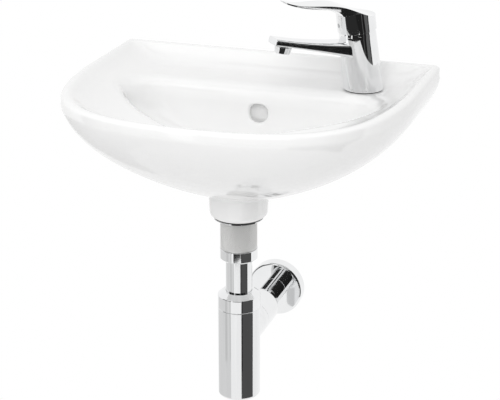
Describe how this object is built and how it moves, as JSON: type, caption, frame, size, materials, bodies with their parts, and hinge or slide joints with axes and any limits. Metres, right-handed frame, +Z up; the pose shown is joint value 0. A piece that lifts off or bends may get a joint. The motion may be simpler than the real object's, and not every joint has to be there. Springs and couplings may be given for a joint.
{
  "type": "washbasin",
  "caption": "Wall-hung ceramic hand basin with a raised rim, a single-lever tap on its deck, a push-open waste and a chromed bottle trap with a wall outlet.",
  "frame": {"origin": "on the wall plane, midway between the two wall-fixing holes; the rim's crest is 62 mm higher", "axes": "+X to the user's right, +Y into the wall, +Z up"},
  "size_m": [0.4506, 0.4121, 0.5398],
  "materials": {
    "glaze": "glossy white glaze",
    "chrome": "polished",
    "satin_metal": "finely knurled satin",
    "rubber": "matt black",
    "steel": "zinc plated",
    "brass": "machined",
    "plastic": "moulded",
    "grey_plastic": "plain grey",
    "alumina": "lapped"
  },
  "bodies": {
    "basin_set": {"aerator_housing": "chrome", "aerator_insert": "plastic", "aerator_seal": "rubber", "basin": "glaze", "cartridge_base": "plastic", "cartridge_housing": "plastic", "cartridge_nut": "brass", "cartridge_seals": "rubber", "fixed_disc": "alumina", "outlet_nut": "chrome", "outlet_pipe": "chrome", "outlet_seal": "rubber", "plug_click_unit": "plastic", "plug_guide": "plastic", "tap_body": "chrome", "tap_clamp_pad": "rubber", "tap_clamp_plate": "steel", "tap_dome_ring": "chrome", "tap_foot_gasket": "rubber", "tap_nut": "brass", "tap_stud": "steel", "trap_bottle": "chrome", "trap_coupling_nut": "chrome", "trap_coupling_seal": "rubber", "trap_cup": "chrome", "trap_cup_seal": "rubber", "trap_inlet_tube": "chrome", "trap_top_nut": "chrome", "trap_top_seal": "rubber", "wall_rosette": "chrome", "waste_flange": "chrome", "waste_low_gasket": "rubber", "waste_seat_gasket": "rubber", "waste_sleeve_nut": "satin_metal", "waste_washer": "chrome"},
    "rotor": {"cartridge_rotor": "plastic", "stem_pin": "steel"},
    "lever": {"lever": "chrome", "lever_stem": "brass", "lever_set_screw": "steel", "lever_screw_cover": "grey_plastic"},
    "disc": {"disc_coupler": "plastic", "moving_disc": "alumina"},
    "plug": {"plug_cap": "chrome", "plug_seal": "rubber", "plug_stem": "steel"}
  },
  "joints": [
    {"name": "lever_swivel", "type": "hinge", "parent": "basin_set", "child": "rotor", "pos_m": [0.1252, -0.05975, 0.10929], "axis": [-0.1034, -0.0931, 0.9903], "range_deg": [-45, 45]},
    {"name": "lever_tilt", "type": "hinge", "parent": "rotor", "child": "lever", "pos_m": [0.1252, -0.05975, 0.10929], "axis": [-0.6691, 0.7431, 0], "range_deg": [0, 22]},
    {"name": "disc_slide", "type": "slide", "parent": "rotor", "child": "disc", "axis": [-0.7359, -0.6626, -0.1392], "range_m": [0, 0.0036]},
    {"name": "plug_press", "type": "slide", "parent": "basin_set", "child": "plug", "axis": [0, 0, -1], "range_m": [0, 0.007]}
  ],
  "couplings": [
    {"joint": "disc_slide", "follows": "lever_tilt", "m_per_rad": 0.009}
  ]
}
